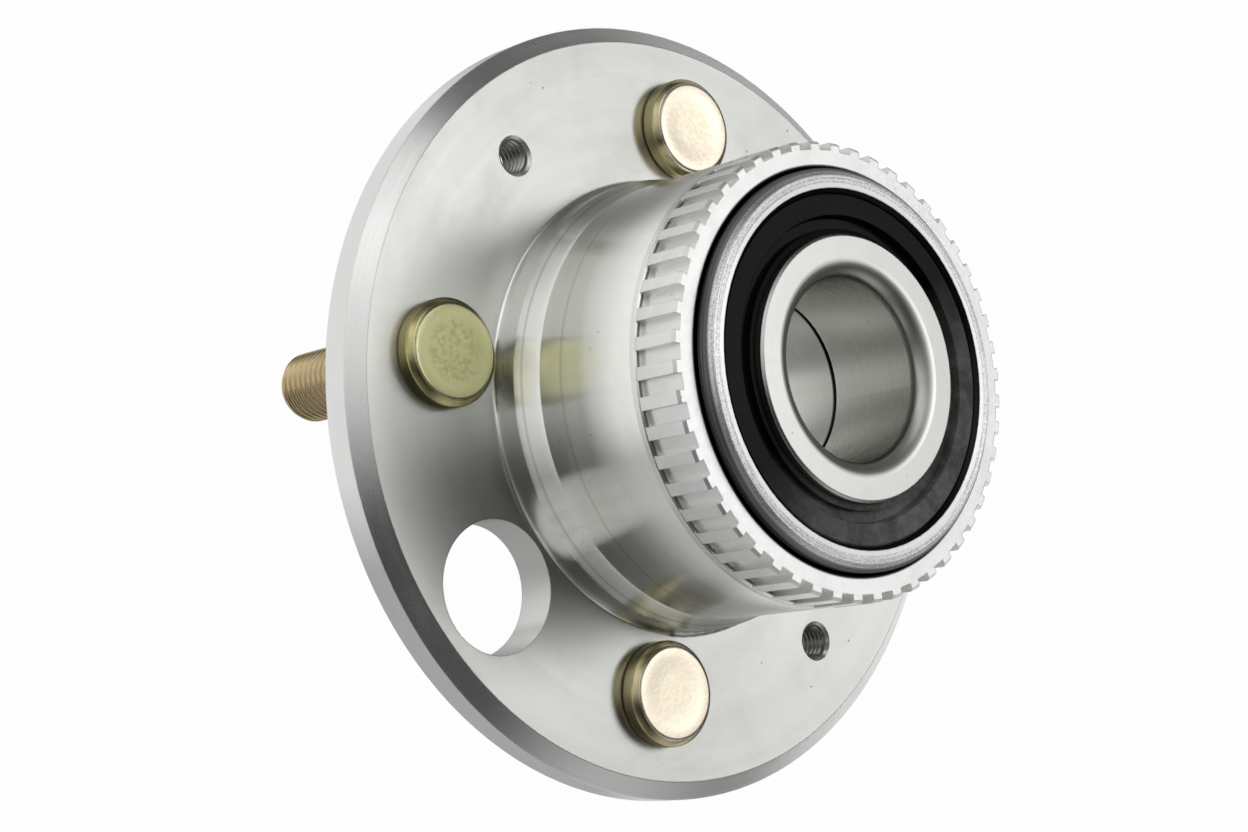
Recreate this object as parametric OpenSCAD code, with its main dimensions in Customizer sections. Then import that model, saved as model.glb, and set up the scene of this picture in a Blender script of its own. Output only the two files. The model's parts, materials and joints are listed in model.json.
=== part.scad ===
/* [Bearing] */
// Bore for the spindle
bore_d = 30; // [28:0.1:32]
// Wall of the inner rings at their low shoulder, next to the split
ring_wall = 5.9; // [5.2:0.1:6.6]
// Step from the low shoulder up to the land where the seals run
ring_step = 1.05; // [0.7:0.05:1.3]
// Height of the ball centres over the low shoulder
ball_rise = 3.8; // [3.5:0.1:4.2]
// Number of balls in a row
ball_count = 14; // [11:1:14]
// Ball diameter
ball_d = 9; // [8.2:0.1:9.6]
// Gap between a ball and its raceways
ball_play = 0.07; // [0.05:0.01:0.1]
// Distance of each ball row from the split
row_offset = 8.6; // [7.8:0.1:9.6]
// Height over the ball centres of the rib between the rows
rib_rise = 2.5; // [2:0.1:3]
// Height of the outboard ring face over the wheel face
bearing_z = 12.2; // [10.8:0.1:14]
// Height of the inboard ring face over the nose end
inner_ring_proud = 0.6; // [0:0.1:1.2]
// Round corner at the inboard mouth of the bore
inboard_corner_r = 3; // [1.5:0.1:3.5]
// Round corner at the outboard mouth of the bore
outboard_corner_r = 1; // [0.5:0.1:2]
// Edge break on the faces and at the split of the inner rings
ring_break = 0.4; // [0.2:0.1:0.8]

/* [Cages] */
// Reach of a cage inside the ball circle
cage_in = 1.4; // [1:0.1:1.7]
// Reach of a cage outside the ball circle
cage_out = 0.7; // [0.4:0.1:1]
// Gap between a ball and its pocket
pocket_gap = 0.2; // [0.1:0.05:0.3]
// Wall of the closed side of a cage behind its pockets
cage_web = 1.3; // [1:0.1:1.8]
// Reach of the horns of a cage past the ball centres
horn_reach = 3; // [2:0.1:3.6]
// Radius of the scallop between two horns
horn_scallop_r = 1.3; // [0.8:0.1:1.5]

/* [Seals] */
// Gap between a cage and the seal behind it
seal_gap = 0.7; // [0.4:0.1:1.2]
// Height of the inboard seal seat over the ball centres
inboard_seat_rise = 4.2; // [3.8:0.1:4.8]
// Height of the outboard seal seat over the ball centres
outboard_seat_rise = 0.5; // [0.4:0.1:0.9]
// Depth of the inboard seal face under the nose end
seal_sink = 0.7; // [0.5:0.1:1]
// Depth of the steel case behind the seal face
seal_depth = 3.8; // [3.4:0.1:4.4]
// Depth of seat left behind a seal
seat_margin = 0.4; // [0.2:0.1:0.8]
// Sheet thickness of the steel case
case_t = 0.7; // [0.5:0.1:0.9]
// Thickness of the rubber on the case
rubber_t = 1.7; // [1.2:0.1:1.9]
// Thickness of the rubber at the bottom of the groove
groove_floor_t = 0.3; // [0.2:0.1:0.5]
// Width of the flat rubber zone of the inboard seal
inboard_flat_w = 3.7; // [3:0.1:4.2]
// Width of the flat rubber zone of the outboard seal
outboard_flat_w = 1.2; // [0.8:0.1:1.4]
// Radial gap from the inner ring to the inner edge of the case
web_gap = 1.45; // [1.3:0.05:1.6]
// Thickness of the lips at their root
lip_t = 0.8; // [0.6:0.1:0.9]
// Thickness of the lips at their tip
lip_tip_t = 0.4; // [0.2:0.1:0.5]
// Depth of the dust lip under the seal face
lip_drop = 0.4; // [0.2:0.1:0.6]
// Running gap between a lip and the inner ring
lip_gap = 0.03; // [0.02:0.01:0.06]
// Bevel round the outer edge of the rubber face
rubber_bevel = 0.3; // [0.1:0.1:0.5]

/* [Nose and barrel] */
// Wall of the nose round the inboard seal
nose_wall = 4.1; // [3.4:0.1:5]
// Length of the nose past the shoulder for the tone ring
nose_l = 11.4; // [10.2:0.1:12.4]
// Radial width of the bevel round the nose end
nose_bevel_w = 1.3; // [0.5:0.1:1.6]
// Height of the bevel round the nose end
nose_bevel_h = 1.2; // [0.5:0.1:1.8]
// Width of the shoulder that the tone ring seats on
shoulder_w = 4.7; // [4.2:0.1:5.6]
// Edge break on that shoulder
shoulder_break = 0.4; // [0.2:0.1:0.8]
// Step from the barrel out to the collar at its foot
collar_step = 1.4; // [0.8:0.1:2]
// Height of the collar over the flange
collar_h = 5.1; // [3:0.1:7]
// Fillet between the flange and the collar
collar_fillet = 0.9; // [0.4:0.1:1.2]
// Length of the long fillet from the collar to the barrel
barrel_fillet_h = 5; // [2.5:0.1:8]

/* [Tone ring] */
// Number of teeth
tooth_count = 50; // [40:1:60]
// Height of a tooth
tooth_h = 1.4; // [1:0.1:2]
// Wall of the ring under the tooth roots
tone_wall = 3.4; // [2.4:0.1:4]
// Share of each pitch that a tooth takes
tooth_share = 0.45; // [0.35:0.01:0.55]
// Width of the ring along the axis
tone_ring_w = 8.9; // [7:0.1:9.8]
// Bevel on the front corners of the teeth
tooth_bevel = 0.5; // [0.2:0.1:0.8]
// Bevel at the mouth of the ring's bore
ring_mouth_bevel = 0.5; // [0.2:0.1:0.9]
// Turn of the first tooth from the first stud, in degrees
tooth_turn = 2.1; // [0:0.1:7.2]

/* [Wheel studs] */
// Number of wheel studs
stud_count = 4; // [4:1:5]
// Clear gap between the collar and the stud heads, which sets the stud circle
head_gap = 1.9; // [1:0.1:4]
// Outside diameter of the stud thread
stud_thread_d = 12; // [11:0.5:13]
// Pitch of that thread, whose turns are cut here as rings
thread_pitch = 1.5; // [1.25:0.25:2]
// Depth of the thread
thread_depth = 0.85; // [0.5:0.05:0.95]
// Width of the flat on each thread crest
thread_crest_w = 0.2; // [0.1:0.05:0.3]
// Plain length of the stud between the wheel face and the thread
plain_l = 2; // [1:0.1:4]
// Height over the thread of the splines that are pressed into the flange
spline_rise = 0.2; // [0.15:0.05:0.4]
// Number of splines round a stud
spline_count = 36; // [24:1:48]
// Depth of the spline grooves
spline_depth = 0.25; // [0.1:0.05:0.35]
// Reach of the stud past the wheel face
stud_reach = 31.2; // [24:0.1:45]
// Radial width of the taper at the stud's end
stud_point_w = 1.1; // [0.5:0.1:2]
// Length of the taper at the stud's end
stud_point_h = 1.8; // [0.8:0.1:3]
// Diameter of the stud head
stud_head_d = 18; // [16:0.1:20]
// Height of the stud head over the flange
stud_head_h = 3.7; // [3:0.1:5]
// Radial width of the bevel round the head
head_bevel_w = 1.3; // [0.5:0.1:2]
// Height of the bevel round the head
head_bevel_h = 1; // [0.4:0.1:2]
// Diameter of the shallow dish in the head
head_dish_d = 11; // [8:0.1:12]
// Depth of that dish
head_dish_depth = 0.25; // [0.1:0.05:0.5]

/* [Flange] */
// Width of the flange outside the stud circle
rim_w = 17.6; // [15.5:0.1:22]
// Thickness of the flange from the wheel face to the inboard face
flange_t = 7.5; // [6.5:0.1:10]
// Radial width of the bevel round the inboard rim
rim_bevel_w = 3; // [1:0.1:3.5]
// Height of the same bevel
rim_bevel_h = 2.2; // [0.8:0.1:3]
// Edge break round the outboard rim
rim_break = 0.4; // [0.2:0.1:1]

/* [Flange holes] */
// Diameter of the access hole
access_hole_d = 22.2; // [18:0.1:24]
// Land between the collar's fillet and the access hole
access_land = 0.1; // [0.1:0.1:1]
// Thread diameter of the two tapped holes, bored here without the thread
tap_d = 6; // [5:0.1:8]
// Width of the countersink round both ends of a tapped hole
tap_sink_w = 0.5; // [0.2:0.1:1]
// Offset of the tapped holes outside the stud circle
tap_offset = 2; // [0:0.1:5]

/* [Pilots] */
// Step from the outboard seal seat out to the bore for a dust cap
cap_step = 0.4; // [0.2:0.1:0.8]
// Depth of that bore from the end of the wheel pilot
cap_bore_depth = 12; // [9:0.1:16]
// Wall of the pilot that centres the wheel
pilot_wall = 2.4; // [1.8:0.1:3]
// Height of the wheel pilot above the wheel face
wheel_pilot_h = 11; // [8:0.1:14]
// Step from the wheel pilot out to the one that centres the brake disc or drum
pilot_step = 2.5; // [2:0.1:3.5]
// Height of the brake pilot above the wheel face
brake_pilot_h = 4; // [3:0.1:6]
// Lead bevel on the ends of both pilots
pilot_lead = 1; // [0.4:0.1:1.5]
// Width of the relief groove round the foot of the brake pilot
relief_w = 1.2; // [0.6:0.1:2]
// Depth of that relief groove
relief_depth = 0.5; // [0.2:0.1:1]

/* [Hidden] */
$fn = 120;
// Overshoot of every cutter past the face it cuts
over = 1;

// Radii of the bearing, from the bore outwards
bore_r = bore_d / 2;
low_r = bore_r + ring_wall;
land_r = low_r + ring_step;
ball_r = ball_d / 2;
raceway_r = ball_r + ball_play;
ball_circle_r = low_r + ball_rise;
rib_r = ball_circle_r + rib_rise;
inboard_seat_r = ball_circle_r + inboard_seat_rise;
outboard_seat_r = ball_circle_r + outboard_seat_rise;

// Radii of the hub round it
nose_r = inboard_seat_r + nose_wall;
root_r = nose_r + tone_wall;
tip_r = root_r + tooth_h;
barrel_r = nose_r + shoulder_w;
collar_r = barrel_r + collar_step;
stud_circle_r = collar_r + head_gap + stud_head_d / 2;
flange_r = stud_circle_r + rim_w;
access_hole_r = collar_r + collar_fillet + access_land + access_hole_d / 2;
tap_r = stud_circle_r + tap_offset;
cap_r = outboard_seat_r + cap_step;
wheel_r = cap_r + pilot_wall;
brake_r = wheel_r + pilot_step;
spline_r = stud_thread_d / 2 + spline_rise;

// Distances from the split, the same on both sides of it
cage_back = ball_r + pocket_gap + cage_web;
seal_tail = row_offset + cage_back + seal_gap;
seal_face = seal_tail + seal_depth;
inner_ring_w = seal_face + seal_sink + inner_ring_proud;

// Heights over the wheel face
split_z = bearing_z + inner_ring_w;
chamber_z = split_z - seal_tail + seat_margin;
nose_end_z = split_z + seal_face + seal_sink;
shoulder_z = nose_end_z - nose_l;
collar_z = flange_t + collar_h;
fillet_end_z = collar_z + barrel_fillet_h;

// The long fillet meets the barrel smoothly and ends on the collar's edge
barrel_fillet_r = (collar_step * collar_step + barrel_fillet_h * barrel_fillet_h) / (2 * collar_step);

// Places between the studs, counted in stud pitches from the first stud
stud_pitch = 360 / stud_count;
tap_places = [1.5, 3.5];
access_place = 2.5;

// Colours as the photograph shows them
machined_steel = [0.74, 0.74, 0.73];
ring_steel = [0.86, 0.87, 0.86];
ground_steel = [0.80, 0.80, 0.78];
zinc_gold = [0.72, 0.67, 0.45];
rubber_black = [0.10, 0.10, 0.11];
case_grey = [0.45, 0.45, 0.46];
cage_cream = [0.85, 0.80, 0.66];
ball_chrome = [0.88, 0.88, 0.90];

// Node names of the repeated pieces
function two_digits(n) = n < 10 ? str("0", n) : str(n);
function stud_name(i) = str("wheel_stud_", i + 1);
function ball_name(row, i) = str("ball_", row, "_", two_digits(i + 1));

// Stands a shape on the split plane, pointing inboard
module inboard_side() {
    translate([0, 0, split_z])
        children();
}

// Hangs the same shape under the split plane, pointing outboard
module outboard_side() {
    translate([0, 0, split_z])
        mirror([0, 0, 1])
            children();
}

// Section of one ball groove, centred on the ball circle
module groove(height) {
    translate([ball_circle_r, height])
        circle(r = raceway_r);
}

// Half section of the hub: pilots, flange, collar, barrel and nose
module hub_section() {
    difference() {
        polygon([
            [cap_r + pilot_lead / 2, -wheel_pilot_h],
            [wheel_r - pilot_lead, -wheel_pilot_h],
            [wheel_r, pilot_lead - wheel_pilot_h],
            [wheel_r, -brake_pilot_h],
            [brake_r - pilot_lead, -brake_pilot_h],
            [brake_r, pilot_lead - brake_pilot_h],
            [brake_r, relief_depth],
            [brake_r + relief_w, relief_depth],
            [brake_r + relief_w, 0],
            [flange_r - rim_break, 0],
            [flange_r, rim_break],
            [flange_r, flange_t - rim_bevel_h],
            [flange_r - rim_bevel_w, flange_t],
            [collar_r + collar_fillet, flange_t],
            [collar_r, flange_t + collar_fillet],
            [collar_r, collar_z],
            [barrel_r, fillet_end_z],
            [barrel_r, shoulder_z - shoulder_break],
            [barrel_r - shoulder_break, shoulder_z],
            [nose_r, shoulder_z],
            [nose_r, nose_end_z - nose_bevel_h],
            [nose_r - nose_bevel_w, nose_end_z],
            [inboard_seat_r + seal_sink, nose_end_z],
            [inboard_seat_r, nose_end_z - seal_sink],
            [inboard_seat_r, split_z + row_offset],
            [rib_r, split_z + row_offset],
            [rib_r, chamber_z],
            [outboard_seat_r, chamber_z],
            [outboard_seat_r, cap_bore_depth - wheel_pilot_h],
            [cap_r, cap_bore_depth - wheel_pilot_h],
            [cap_r, pilot_lead / 2 - wheel_pilot_h]
        ]);
        translate([collar_r + collar_fillet, flange_t + collar_fillet])
            circle(r = collar_fillet);
        translate([barrel_r + barrel_fillet_r, fillet_end_z])
            circle(r = barrel_fillet_r);
        groove(split_z + row_offset);
        groove(split_z - row_offset);
    }
}

// Tapped hole, as a plain bore with a countersink at both faces
module tap_cutter() {
    tap_hole_r = tap_d / 2;
    mouth_r = tap_hole_r + tap_sink_w + over;
    translate([0, 0, -over])
        cylinder(h = flange_t + 2 * over, r = tap_hole_r);
    translate([0, 0, flange_t - tap_sink_w])
        cylinder(h = tap_sink_w + over, r1 = tap_hole_r, r2 = mouth_r);
    translate([0, 0, -over])
        cylinder(h = tap_sink_w + over, r1 = mouth_r, r2 = tap_hole_r);
}

// Rotating outer ring with its flange, one steel forging
module hub_flange() {
    color(machined_steel)
        difference() {
            rotate_extrude()
                hub_section();
            for (i = [0 : stud_count - 1])
                rotate(i * stud_pitch)
                    translate([stud_circle_r, 0, -over])
                        cylinder(h = flange_t + 2 * over, r = spline_r);
            rotate(access_place * stud_pitch)
                translate([access_hole_r, 0, -over])
                    cylinder(h = flange_t + 2 * over, d = access_hole_d);
            for (place = tap_places)
                rotate(place * stud_pitch)
                    translate([tap_r, 0, 0])
                        tap_cutter();
        }
}

// Spline outline: straight flanks between the crests and the grooves
module spline_outline() {
    step = 180 / spline_count;
    polygon([
        for (i = [0 : 2 * spline_count - 1])
            let (r = spline_r - (i % 2) * spline_depth)
                [r * cos(i * step), r * sin(i * step)]
    ]);
}

// Pressed-in wheel stud with a round bevelled head and a thread of plain rings
module wheel_stud(i) {
    head_r = stud_head_d / 2;
    head_z = flange_t + stud_head_h;
    thread_r = stud_thread_d / 2;
    turn_count = floor((stud_reach - stud_point_h - plain_l) / thread_pitch);
    thread_outline = [
        for (turn = [turn_count : -1 : 1])
            let (low_z = -plain_l - turn * thread_pitch)
                each [
                    [thread_r, low_z + thread_crest_w / 2],
                    [thread_r - thread_depth, low_z + thread_pitch / 2],
                    [thread_r, low_z + thread_pitch - thread_crest_w / 2]
                ]
    ];
    dish_r = head_dish_d / 2;
    color(zinc_gold)
        rotate(i * stud_pitch)
            translate([stud_circle_r, 0, 0]) {
                rotate_extrude()
                    polygon(concat(
                        [
                            [0, -stud_reach],
                            [thread_r - stud_point_w, -stud_reach],
                            [thread_r, stud_point_h - stud_reach]
                        ],
                        thread_outline,
                        [
                            [thread_r, 0],
                            [thread_r - over, 0],
                            [thread_r - over, flange_t],
                            [head_r, flange_t],
                            [head_r, head_z - head_bevel_h],
                            [head_r - head_bevel_w, head_z],
                            [dish_r, head_z],
                            [dish_r - 2 * head_dish_depth, head_z - head_dish_depth],
                            [0, head_z - head_dish_depth]
                        ]
                    ));
                linear_extrude(height = flange_t)
                    spline_outline();
            }
}

// One tooth of the tone ring with radial flanks, pointing along +X
module tooth_outline() {
    half = tooth_share * 180 / tooth_count;
    foot_r = (nose_r + root_r) / 2;
    polygon([
        [foot_r * cos(half), -foot_r * sin(half)],
        [tip_r * cos(half), -tip_r * sin(half)],
        [tip_r * cos(half), tip_r * sin(half)],
        [foot_r * cos(half), foot_r * sin(half)]
    ]);
}

// Toothed ring that a speed sensor reads, pressed on the nose
module tone_ring() {
    color(ring_steel)
        translate([0, 0, shoulder_z])
            intersection() {
                linear_extrude(height = tone_ring_w)
                    difference() {
                        union() {
                            circle(r = root_r);
                            for (i = [0 : tooth_count - 1])
                                rotate(tooth_turn + i * 360 / tooth_count)
                                    tooth_outline();
                        }
                        circle(r = nose_r);
                    }
                rotate_extrude()
                    polygon([
                        [nose_r - over, -over],
                        [tip_r + over, -over],
                        [tip_r + over, tone_ring_w - tooth_bevel - over],
                        [tip_r - tooth_bevel, tone_ring_w],
                        [nose_r + ring_mouth_bevel, tone_ring_w],
                        [nose_r - over, tone_ring_w - ring_mouth_bevel - over]
                    ]);
            }
}

// Inner ring standing on the split, with a round corner at the far mouth of its bore
module inner_ring(corner_r) {
    color(ground_steel)
        rotate_extrude()
            difference() {
                polygon([
                    [bore_r + ring_break, 0],
                    [low_r - ring_break, 0],
                    [low_r, ring_break],
                    [low_r, row_offset],
                    [land_r, row_offset],
                    [land_r, inner_ring_w - ring_break],
                    [land_r - ring_break, inner_ring_w],
                    [bore_r, inner_ring_w],
                    [bore_r, ring_break]
                ]);
                groove(row_offset);
                difference() {
                    translate([bore_r - over, inner_ring_w - corner_r])
                        square([corner_r + over, corner_r + over]);
                    translate([bore_r + corner_r, inner_ring_w - corner_r])
                        circle(r = corner_r);
                }
            }
}

module inner_ring_inboard() {
    inboard_side()
        inner_ring(inboard_corner_r);
}

module inner_ring_outboard() {
    outboard_side()
        inner_ring(outboard_corner_r);
}

// Bearing ball number i of a row on the inboard side of the split
module ball(i) {
    color(ball_chrome)
        rotate(i * 360 / ball_count)
            translate([ball_circle_r, 0, row_offset])
                sphere(r = ball_r);
}

// Snap-in crown cage: a ring with one open pocket for each ball
module cage() {
    color(cage_cream)
        difference() {
            rotate_extrude()
                translate([ball_circle_r - cage_in, row_offset - horn_reach])
                    square([cage_in + cage_out, horn_reach + cage_back]);
            for (i = [0 : ball_count - 1]) {
                rotate(i * 360 / ball_count)
                    translate([ball_circle_r, 0, row_offset])
                        sphere(r = ball_r + pocket_gap);
                rotate((i + 0.5) * 360 / ball_count)
                    translate([ball_circle_r - cage_in - over, 0, row_offset - horn_reach])
                        rotate([0, 90, 0])
                            cylinder(h = cage_in + cage_out + 2 * over, r = horn_scallop_r);
            }
        }
}

module cage_inboard() {
    inboard_side()
        cage();
}

module cage_outboard() {
    outboard_side()
        cage();
}

// Steel case of a seal: a sheet ring with its web turned in towards the shaft
module seal_case(outer_r) {
    web_top = seal_face - rubber_t;
    web_r = land_r + web_gap;
    color(case_grey)
        rotate_extrude()
            polygon([
                [outer_r, seal_tail],
                [outer_r, web_top],
                [web_r, web_top],
                [web_r, web_top - case_t],
                [outer_r - case_t, web_top - case_t],
                [outer_r - case_t, seal_tail]
            ]);
}

// Rubber of a seal: flat zone, groove, and two lips that run on the inner ring
module seal_rubber(outer_r, flat_w) {
    web_top = seal_face - rubber_t;
    web_r = land_r + web_gap;
    lip_r = land_r + lip_gap;
    bead_r = web_r - lip_t / 2;
    waist_r = web_r - lip_t;
    color(rubber_black)
        rotate_extrude()
            polygon([
                [outer_r, web_top],
                [outer_r, seal_face - rubber_bevel],
                [outer_r - rubber_bevel, seal_face],
                [outer_r - flat_w, seal_face],
                [outer_r - flat_w - lip_tip_t, web_top + groove_floor_t],
                [bead_r, web_top + groove_floor_t],
                [bead_r, seal_face - lip_drop],
                [lip_r, seal_face - lip_drop / 2],
                [lip_r, seal_face - lip_drop / 2 - lip_tip_t],
                [waist_r, web_top],
                [waist_r, web_top - case_t],
                [lip_r, seal_tail + lip_tip_t],
                [lip_r, seal_tail],
                [lip_r + lip_tip_t, seal_tail],
                [web_r, web_top - case_t - lip_tip_t],
                [web_r, web_top]
            ]);
}

module seal_inboard_case() {
    inboard_side()
        seal_case(inboard_seat_r);
}

module seal_inboard_lip() {
    inboard_side()
        seal_rubber(inboard_seat_r, inboard_flat_w);
}

module seal_outboard_case() {
    outboard_side()
        seal_case(outboard_seat_r);
}

module seal_outboard_lip() {
    outboard_side()
        seal_rubber(outboard_seat_r, outboard_flat_w);
}

hub_flange();
tone_ring();
inner_ring_inboard();
inner_ring_outboard();
seal_inboard_case();
seal_inboard_lip();
seal_outboard_case();
seal_outboard_lip();
cage_inboard();
cage_outboard();
for (i = [0 : stud_count - 1])
    wheel_stud(i);
for (i = [0 : ball_count - 1])
    inboard_side() ball(i);
for (i = [0 : ball_count - 1])
    outboard_side() ball(i);
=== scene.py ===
import json
import math

import bpy
import numpy as np
from mathutils import Euler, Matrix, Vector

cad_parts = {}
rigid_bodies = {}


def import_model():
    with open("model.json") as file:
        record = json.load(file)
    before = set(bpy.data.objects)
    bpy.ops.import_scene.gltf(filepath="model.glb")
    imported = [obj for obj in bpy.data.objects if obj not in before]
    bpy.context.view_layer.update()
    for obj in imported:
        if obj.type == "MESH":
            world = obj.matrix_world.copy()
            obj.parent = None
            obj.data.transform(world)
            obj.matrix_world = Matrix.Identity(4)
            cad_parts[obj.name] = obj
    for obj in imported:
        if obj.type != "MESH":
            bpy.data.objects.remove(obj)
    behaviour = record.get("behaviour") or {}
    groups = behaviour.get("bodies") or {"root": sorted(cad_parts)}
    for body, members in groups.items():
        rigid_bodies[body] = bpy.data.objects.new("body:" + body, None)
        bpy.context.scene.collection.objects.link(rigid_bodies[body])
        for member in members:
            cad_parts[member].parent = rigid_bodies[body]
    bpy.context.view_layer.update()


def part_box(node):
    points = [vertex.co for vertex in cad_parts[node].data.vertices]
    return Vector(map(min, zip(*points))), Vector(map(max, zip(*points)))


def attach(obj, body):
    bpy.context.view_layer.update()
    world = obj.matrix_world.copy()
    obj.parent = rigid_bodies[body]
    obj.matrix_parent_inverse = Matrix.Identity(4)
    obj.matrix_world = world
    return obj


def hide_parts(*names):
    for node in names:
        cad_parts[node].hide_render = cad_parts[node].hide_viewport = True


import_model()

MM = 0.001

# Sizes of the hub in millimetres and degrees, as the solids have them
STUDS = 4
STUD_END = round(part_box("wheel_stud_1")[0].z / MM, 2)
FLANGE_T = 7.5
TAP_CIRCLE_R = 52.0
TAP_ANGLES = (135, 315)

# Studs: outline of the head as (radius, height), and the splines with rows of (height, fullness)
HEAD = [(0.3, 11.08), (3.6, 11.09), (5.0, 11.13), (6.2, 11.18), (7.7, 11.2), (8.15, 10.95), (9.0, 10.1),
        (9.0, 7.9), (8.6, 7.52), (6.1, 7.5)]
HEAD_ROUNDING = 0.3
SPLINES, SPLINE_R, SPLINE_DEPTH = 36, 5.95, 0.24
SPLINE_ROWS = [(7.45, 1.0), (0.25, 1.0), (0.05, 0.3)]

# M12 x 1.5 thread of the studs, how far under the flange it starts and is full, and the cone at its point
STUD_R, STUD_PITCH, STUD_THREAD_DEPTH = 5.99, 1.5, 0.86
RUN_OUT = (0.8, 2.4)
POINT_R, POINT_LENGTH, POINT_DRAW = 6.0, 1.8, 1.1
END_FACE_R = (3.0, 0.3)

# Tapped holes: M6 x 1, with the thread faded out towards both countersinks
TAP_WALL_R, TAP_LINER_R, TAP_PITCH, TAP_THREAD_DEPTH = 2.995, 2.985, 1.0, 0.46
TAP_FADE = (0.5, 1.0)

# Share of a pitch that is flat at the crest of a thread, and how full its flanks are
CREST_FLAT, FLANK_FULLNESS = 0.125, 0.85

# Rows along each thread and points round it
STUD_ROWS, STUD_POINTS = 251, 144
TAP_ROWS, TAP_POINTS = 91, 64


# Meshes

def sheet(name, grid, close_ends=False):
    """Mesh of a grid of points (rows, columns, 3) in millimetres, closed round its columns.

    Each cell between two rows and two columns becomes one quad, the last column joins the first, and with
    close_ends a fan of triangles shuts the first and the last row at their middle points.
    """
    rows, cols = grid.shape[:2]
    index = np.arange(rows * cols).reshape(rows, cols)
    right = np.roll(index, -1, axis=1)
    quads = np.stack([index[:-1], right[:-1], right[1:], index[1:]], axis=-1).reshape(-1, 4)
    points = grid.reshape(-1, 3)
    faces = quads.tolist()
    if close_ends:
        points = np.vstack([points, grid[0].mean(0), grid[-1].mean(0)])
        first, last = rows * cols, rows * cols + 1
        faces += np.stack([np.full(cols, first), right[0], index[0]], axis=-1).tolist()
        faces += np.stack([np.full(cols, last), index[-1], right[-1]], axis=-1).tolist()
    mesh = bpy.data.meshes.new(name)
    mesh.from_pydata((points * MM).tolist(), [], faces)
    mesh.polygons.foreach_set("use_smooth", np.ones(len(mesh.polygons), bool))
    mesh.update()
    piece = bpy.data.objects.new(name, mesh)
    bpy.context.scene.collection.objects.link(piece)
    return piece


def smoothstep(x, low, high):
    """Rises from 0 at low to 1 at high along three times the share squared less twice its cube."""
    t = np.clip((x - low) / (high - low), 0, 1)
    return t * t * (3 - 2 * t)


def thread_depth(theta, z, pitch, depth):
    """Depth of a right-hand thread below its crests.

    The phase is z over the pitch less the angle over a full turn. Folded to a triangle wave and cut flat at
    the crest, it gives the depth as the sine of that share of a quarter turn, to the power FLANK_FULLNESS.
    """
    phase = (z / pitch - theta / (2 * math.pi)) % 1.0
    flank = 1 - np.abs(2 * phase - 1)
    cut = np.clip((flank - CREST_FLAT) / (1 - CREST_FLAT), 0, 1)
    return depth * np.sin(cut * math.pi / 2) ** FLANK_FULLNESS


def rounded(profile, radius, steps=4):
    """Rounds the inner corners of a profile of (radius, height) pairs.

    Each corner is replaced by a quadratic curve between the points that lie radius before and after it, or
    half a side where that is shorter.
    """
    p = np.array(profile, float)
    out = [p[:1]]
    for a, b, c in zip(p[:-2], p[1:-1], p[2:]):
        ab, bc = np.linalg.norm(b - a), np.linalg.norm(c - b)
        reach = min(radius, ab / 2, bc / 2)
        s, e = b + (a - b) / ab * reach, b + (c - b) / bc * reach
        t = np.linspace(0, 1, steps)[:, None]
        out.append((1 - t) ** 2 * s + 2 * t * (1 - t) * b + t * t * e)
    out.append(p[-1:])
    return np.vstack(out)


def middle(node):
    """Middle of a node as x and y in millimetres, to a hundredth because of the facets of round solids."""
    low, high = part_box(node)
    return [round((low[axis] + high[axis]) / 2 / MM, 2) for axis in (0, 1)]


def rings(radius, z, theta, centre):
    """Rings of the given radii and heights round an upright line through centre."""
    x = radius * np.cos(theta) + centre[0]
    y = radius * np.sin(theta) + centre[1]
    return np.stack([x, y, np.broadcast_to(z, x.shape)], axis=-1)


def wheel_stud(name, centre):
    """Stud with a bevelled, dished head, splines in the flange and an M12 x 1.5 thread.

    Above the flange the radius follows a rounded profile. In the flange it swings between the spline
    crests and grooves with the angle. Below, it is STUD_R less the thread's depth, held inside a cone at
    the point.
    """
    theta = np.linspace(0, 2 * math.pi, STUD_POINTS, endpoint=False)[None, :]
    head = rounded(HEAD, HEAD_ROUNDING)
    head_r = np.repeat(head[:, :1], theta.size, axis=1)
    splines = np.array(SPLINE_ROWS)
    spline_wave = np.abs(((theta * SPLINES / (2 * math.pi)) % 1.0) * 2 - 1)
    spline_r = SPLINE_R + SPLINE_DEPTH * spline_wave * splines[:, 1:]
    thread_z = np.linspace(0, STUD_END, STUD_ROWS)[:, None]
    run_out = smoothstep(-thread_z, *RUN_OUT)
    thread_r = STUD_R - thread_depth(theta, thread_z, STUD_PITCH, STUD_THREAD_DEPTH) * run_out
    point_r = POINT_R - POINT_DRAW * np.clip((STUD_END + POINT_LENGTH - thread_z) / POINT_LENGTH, 0, 1)
    thread_r = np.minimum(thread_r, point_r)
    end_z = np.full((len(END_FACE_R), 1), STUD_END)
    end_r = np.repeat(np.array(END_FACE_R)[:, None], theta.size, axis=1)
    radius = np.vstack([head_r, spline_r, thread_r, end_r])
    z = np.vstack([head[:, 1:], splines[:, :1], thread_z, end_z])
    return sheet(name, rings(radius, z, theta, centre), close_ends=True)


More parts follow.
